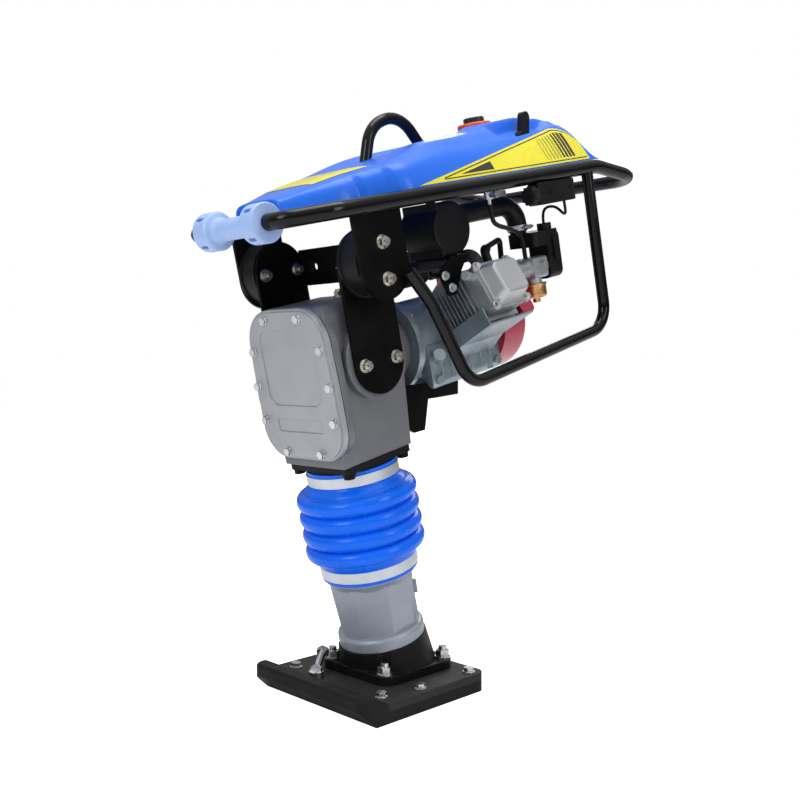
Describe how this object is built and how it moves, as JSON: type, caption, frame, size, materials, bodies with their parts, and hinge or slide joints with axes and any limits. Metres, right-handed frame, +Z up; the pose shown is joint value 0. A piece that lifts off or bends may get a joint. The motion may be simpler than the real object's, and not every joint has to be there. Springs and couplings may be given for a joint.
{
  "type": "vertical tamping rammer",
  "caption": "Upright petrol tamping rammer: leaning leg on a flat shoe, blue bellows, grey gear case, engine with side guards, tank between the rails and a front roller.",
  "frame": {"origin": "on the floor, at the centre of the flat part of the sole", "axes": "+Z up, -Y towards the toe, the gear cover and the front roller, +Y towards the operator's grip bar, +X towards the rocker cover's side"},
  "size_m": [0.426, 0.8408, 1.0218],
  "materials": {
    "sole_pad": "textured black polymer",
    "sole_plate": "satin black",
    "sole_bolts": "bright zinc",
    "foot_casting": "black paint",
    "foot_studs": "bright zinc",
    "leg_cylinder": "satin silver-grey paint on a casting",
    "spring_cylinder": "ground",
    "ram_springs": "spring steel",
    "lower_clamp": "bright",
    "bellows": "glossy blue rubber",
    "guide_cylinder": "black paint",
    "base_bolts": "black oxide",
    "hose_clamps": "bright",
    "gear_case": "mid grey paint on a casting",
    "cover_gasket": "black",
    "case_cover": "silver-grey paint",
    "cover_bolts": "bright zinc",
    "breather_plug": "zinc plated",
    "handle_bracket": "gloss black",
    "bracket_bolts": "zinc plated",
    "rubber_mounts": "black rubber",
    "crankcase": "blue-grey die casting",
    "engine_brackets": "black",
    "engine_bolts": "zinc plated",
    "finned_cylinder": "raw die casting",
    "cylinder_cowl": "blue-grey",
    "rocker_cover": "satin",
    "fan_shroud": "crimson",
    "recoil_housing": "crimson",
    "carburettor": "die cast",
    "float_bowl": "yellow zinc",
    "intake_housing": "black",
    "air_cleaner": "black",
    "intake_hose": "black",
    "plug_lead": "black",
    "muffler": "heat resistant black",
    "ram_rod": "ground",
    "connecting_rod": "forged",
    "crank_gear": "cut gear",
    "clutch_drum": "turned",
    "engine_shaft": "turned",
    "recoil_pulley": "black nylon",
    "starter_grip": "black",
    "choke_lever": "black",
    "handle_tube": "gloss black powder coat",
    "side_guards": "gloss black powder coat",
    "handle_plates": "black",
    "handle_bolts": "yellow zinc",
    "lifting_hook": "black",
    "fuel_tank": "royal blue polyethylene",
    "roller_axle": "turned",
    "switch_box": "black",
    "throttle_cable": "black sheath",
    "fuel_cock": "plated",
    "fuel_hose": "black",
    "roller": "pale blue-grey polymer",
    "fuel_cap": "orange-red",
    "throttle_lever": "black",
    "stop_knob": "black",
    "fuel_lever": "plated"
  },
  "bodies": {
    "foot": {"sole_pad": "sole_pad", "sole_plate": "sole_plate", "sole_bolts": "sole_bolts", "foot_casting": "foot_casting", "foot_studs": "foot_studs", "leg_cylinder": "leg_cylinder", "spring_cylinder": "spring_cylinder", "ram_springs": "ram_springs", "lower_clamp": "lower_clamp", "bellows": "bellows"},
    "machine": {"guide_cylinder": "guide_cylinder", "base_bolts": "base_bolts", "hose_clamps": "hose_clamps", "gear_case": "gear_case", "cover_gasket": "cover_gasket", "case_cover": "case_cover", "cover_bolts": "cover_bolts", "breather_plug": "breather_plug", "handle_bracket": "handle_bracket", "bracket_bolts": "bracket_bolts", "rubber_mounts": "rubber_mounts", "crankcase": "crankcase", "engine_brackets": "engine_brackets", "engine_bolts": "engine_bolts", "finned_cylinder": "finned_cylinder", "cylinder_cowl": "cylinder_cowl", "rocker_cover": "rocker_cover", "fan_shroud": "fan_shroud", "recoil_housing": "recoil_housing", "carburettor": "carburettor", "float_bowl": "float_bowl", "intake_housing": "intake_housing", "air_cleaner": "air_cleaner", "intake_hose": "intake_hose", "plug_lead": "plug_lead", "muffler": "muffler"},
    "ram": {"ram_rod": "ram_rod"},
    "conrod": {"connecting_rod": "connecting_rod"},
    "crank": {"crank_gear": "crank_gear"},
    "clutch": {"clutch_drum": "clutch_drum"},
    "rotor": {"engine_shaft": "engine_shaft"},
    "pulley": {"recoil_pulley": "recoil_pulley"},
    "grip": {"starter_grip": "starter_grip"},
    "choke": {"choke_lever": "choke_lever"},
    "handle": {"handle_tube": "handle_tube", "side_guards": "side_guards", "handle_plates": "handle_plates", "handle_bolts": "handle_bolts", "lifting_hook": "lifting_hook", "fuel_tank": "fuel_tank", "roller_axle": "roller_axle", "switch_box": "switch_box", "throttle_cable": "throttle_cable", "fuel_cock": "fuel_cock", "fuel_hose": "fuel_hose"},
    "front_roller": {"roller": "roller"},
    "cap": {"fuel_cap": "fuel_cap"},
    "throttle": {"throttle_lever": "throttle_lever"},
    "stop": {"stop_knob": "stop_knob"},
    "fuel_tap": {"fuel_lever": "fuel_lever"}
  },
  "joints": [
    {"name": "leg_slide", "type": "slide", "parent": "foot", "child": "machine", "axis": [0, -0.2284, 0.9736], "range_m": [-0.024, 0.03], "stiffness_N_per_m": 24000, "springref_m": 0.028, "deforming": ["bellows", "ram_springs"]},
    {"name": "ram_slide", "type": "slide", "parent": "machine", "child": "ram", "axis": [0, -0.2284, 0.9736], "range_m": [0, 0.044], "deforming": ["ram_springs"]},
    {"name": "conrod_swing", "type": "hinge", "parent": "ram", "child": "conrod", "pos_m": [0, -0.05123, 0.37191], "axis": [0, 0.9736, 0.2284], "range_deg": [-13, 13]},
    {"name": "crank_turn", "type": "hinge", "parent": "machine", "child": "crank", "pos_m": [0, -0.02371, 0.49545], "axis": [0, 0.9736, 0.2284], "continuous": true},
    {"name": "clutch_turn", "type": "hinge", "parent": "machine", "child": "clutch", "pos_m": [0, -0.0181, 0.581], "axis": [0, 0.9736, 0.2284], "continuous": true},
    {"name": "engine_turn", "type": "hinge", "parent": "machine", "child": "rotor", "pos_m": [0, 0.09873, 0.6084], "axis": [0, 0.9736, 0.2284], "continuous": true},
    {"name": "starter_pull", "type": "slide", "parent": "machine", "child": "grip", "axis": [-0.7071, -0.1615, 0.6884], "range_m": [0, 0.5], "stiffness_N_per_m": 12, "springref_m": -0.25},
    {"name": "pulley_turn", "type": "hinge", "parent": "machine", "child": "pulley", "pos_m": [0, 0.28176, 0.65133], "axis": [0, 0.9736, 0.2284], "range_deg": [0, 636.62]},
    {"name": "choke_turn", "type": "hinge", "parent": "machine", "child": "choke", "pos_m": [0.15804, 0.30128, 0.76079], "axis": [1, 0, 0], "range_deg": [-60, 0]},
    {"name": "handle_rock", "type": "hinge", "parent": "machine", "child": "handle", "pos_m": [0, -0.126, 0.71695], "axis": [1, 0, 0], "range_deg": [-1.5, 1.5], "stiffness_Nm_per_rad": 6000, "springref_deg": 0.34, "deforming": ["throttle_cable", "fuel_hose"]},
    {"name": "roller_turn", "type": "hinge", "parent": "handle", "child": "front_roller", "pos_m": [0, -0.28683, 0.76551], "axis": [1, 0, 0], "continuous": true},
    {"name": "cap_turn", "type": "hinge", "parent": "handle", "child": "cap", "pos_m": [0.06, 0.19078, 0.9823], "axis": [0, -0.2284, 0.9736], "continuous": true},
    {"name": "throttle_turn", "type": "hinge", "parent": "handle", "child": "throttle", "pos_m": [0.122, 0.25072, 0.9676], "axis": [1, 0, 0], "range_deg": [-25, 25]},
    {"name": "stop_turn", "type": "hinge", "parent": "handle", "child": "stop", "pos_m": [0.18795, 0.19785, 0.85145], "axis": [0, 0.9736, 0.2284], "range_deg": [0, 60]},
    {"name": "tap_turn", "type": "hinge", "parent": "handle", "child": "fuel_tap", "pos_m": [0.163, 0.12381, 0.84744], "axis": [1, 0, 0], "range_deg": [-90, 0]}
  ],
  "couplings": [
    {"joint": "clutch_turn", "follows": "crank_turn", "ratio": -3.5556},
    {"joint": "pulley_turn", "follows": "starter_pull", "rad_per_m": 22.222}
  ]
}
